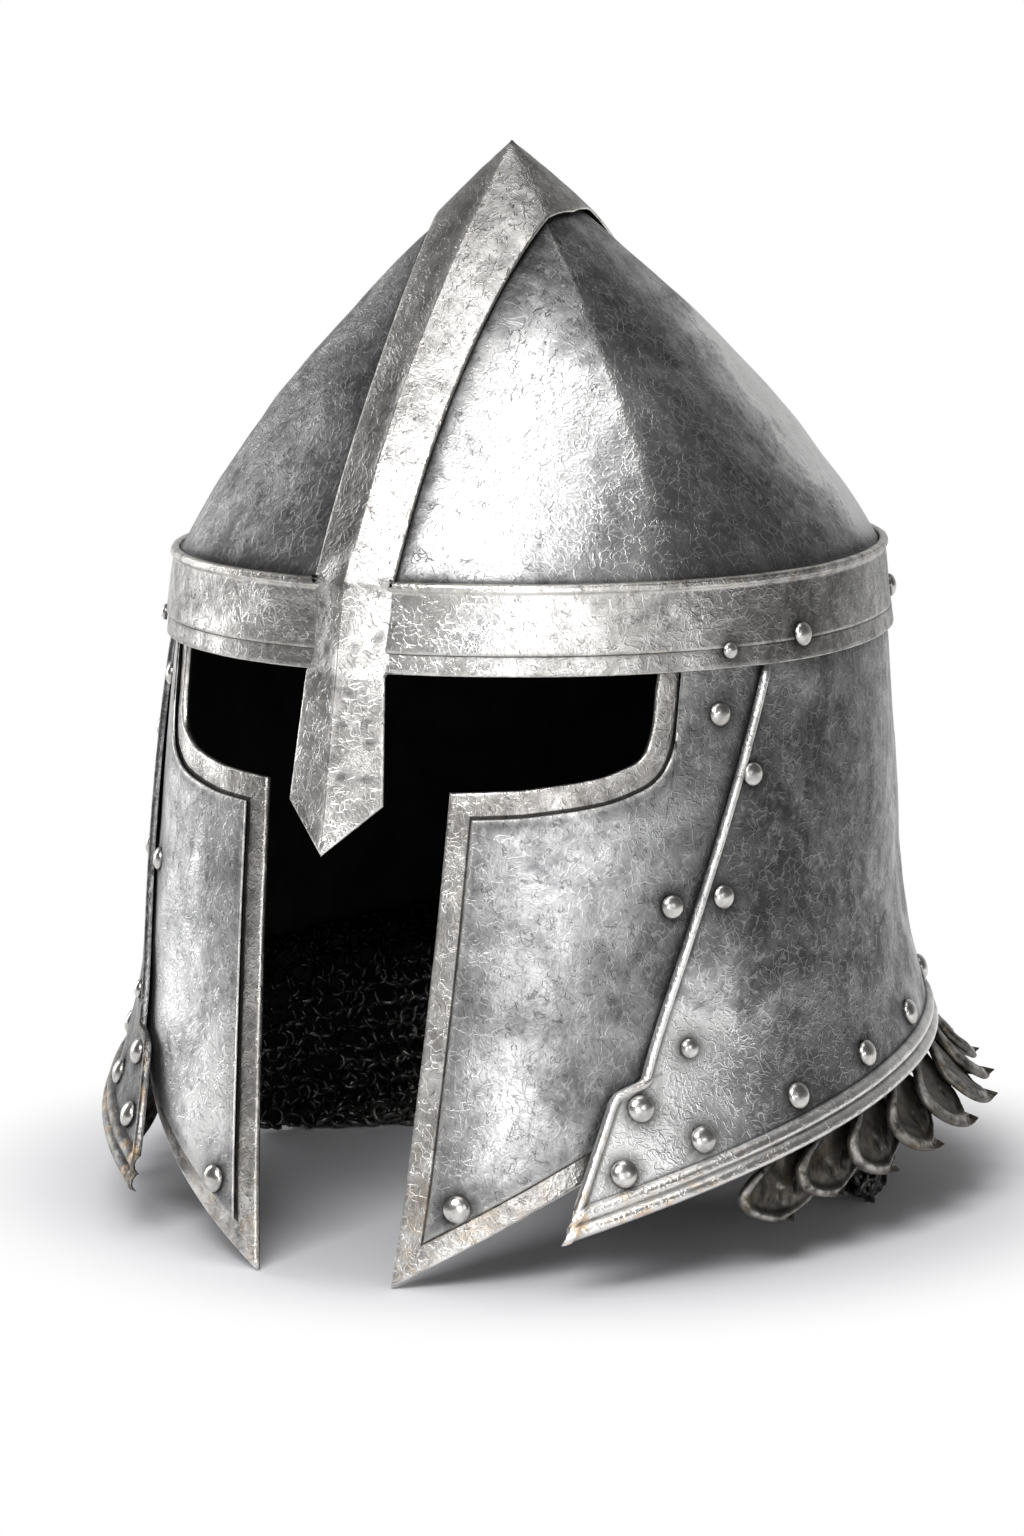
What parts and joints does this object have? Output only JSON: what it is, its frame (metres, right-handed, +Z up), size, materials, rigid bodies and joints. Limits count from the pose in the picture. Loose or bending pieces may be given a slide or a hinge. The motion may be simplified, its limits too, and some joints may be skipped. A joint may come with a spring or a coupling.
{
  "type": "medieval helmet",
  "caption": "Pointed steel helmet with crest band and nasal, riveted cheek and back plates, T-shaped face opening, and a neck guard of scales over a mail curtain.",
  "frame": {"origin": "middle of the whole helmet's footprint, on the floor that it stands on", "axes": "+Z up to the point of the skull, -Y out of the face, +X to the wearer's left"},
  "size_m": [0.2784, 0.3, 0.33],
  "materials": {
    "worn_steel": "worn, mottled",
    "bright_steel": "worn, polished on the edges",
    "dark_iron": "blackened",
    "black_mail": "blackened"
  },
  "bodies": {
    "root": {"skull": "worn_steel", "band_frame": "bright_steel", "face_frame": "bright_steel", "cheek_plate_left": "worn_steel", "cheek_plate_right": "worn_steel", "back_plate": "worn_steel", "mail_curtain": "black_mail", "scale_1_left": "dark_iron", "scale_1_right": "dark_iron", "scale_2_left": "dark_iron", "scale_2_right": "dark_iron", "scale_3_left": "dark_iron", "scale_3_right": "dark_iron", "scale_4_left": "dark_iron", "scale_4_right": "dark_iron", "scale_5_left": "dark_iron", "scale_5_right": "dark_iron", "scale_6_left": "dark_iron", "scale_6_right": "dark_iron", "scale_7_left": "dark_iron", "scale_7_right": "dark_iron", "scale_8_left": "dark_iron", "scale_8_right": "dark_iron", "scale_9_left": "dark_iron", "scale_9_right": "dark_iron", "scale_10_left": "dark_iron", "scale_10_right": "dark_iron", "scale_11_left": "dark_iron", "scale_11_right": "dark_iron", "scale_12_left": "dark_iron", "scale_12_right": "dark_iron", "scale_nape": "dark_iron", "rivet_band_side_left": "bright_steel", "rivet_band_side_right": "bright_steel", "rivet_band_rear_left": "bright_steel", "rivet_band_rear_right": "bright_steel", "rivet_strip_left": "bright_steel", "rivet_strip_right": "bright_steel", "rivet_cheek_top_left": "bright_steel", "rivet_cheek_top_right": "bright_steel", "rivet_cheek_middle_left": "bright_steel", "rivet_cheek_middle_right": "bright_steel", "rivet_cheek_corner_left": "bright_steel", "rivet_cheek_corner_right": "bright_steel", "rivet_wing_top_left": "bright_steel", "rivet_wing_top_right": "bright_steel", "rivet_wing_tip_left": "bright_steel", "rivet_wing_tip_right": "bright_steel", "rivet_seam_1_left": "bright_steel", "rivet_seam_1_right": "bright_steel", "rivet_seam_2_left": "bright_steel", "rivet_seam_2_right": "bright_steel", "rivet_seam_3_left": "bright_steel", "rivet_seam_3_right": "bright_steel"}
  },
  "joints": []
}
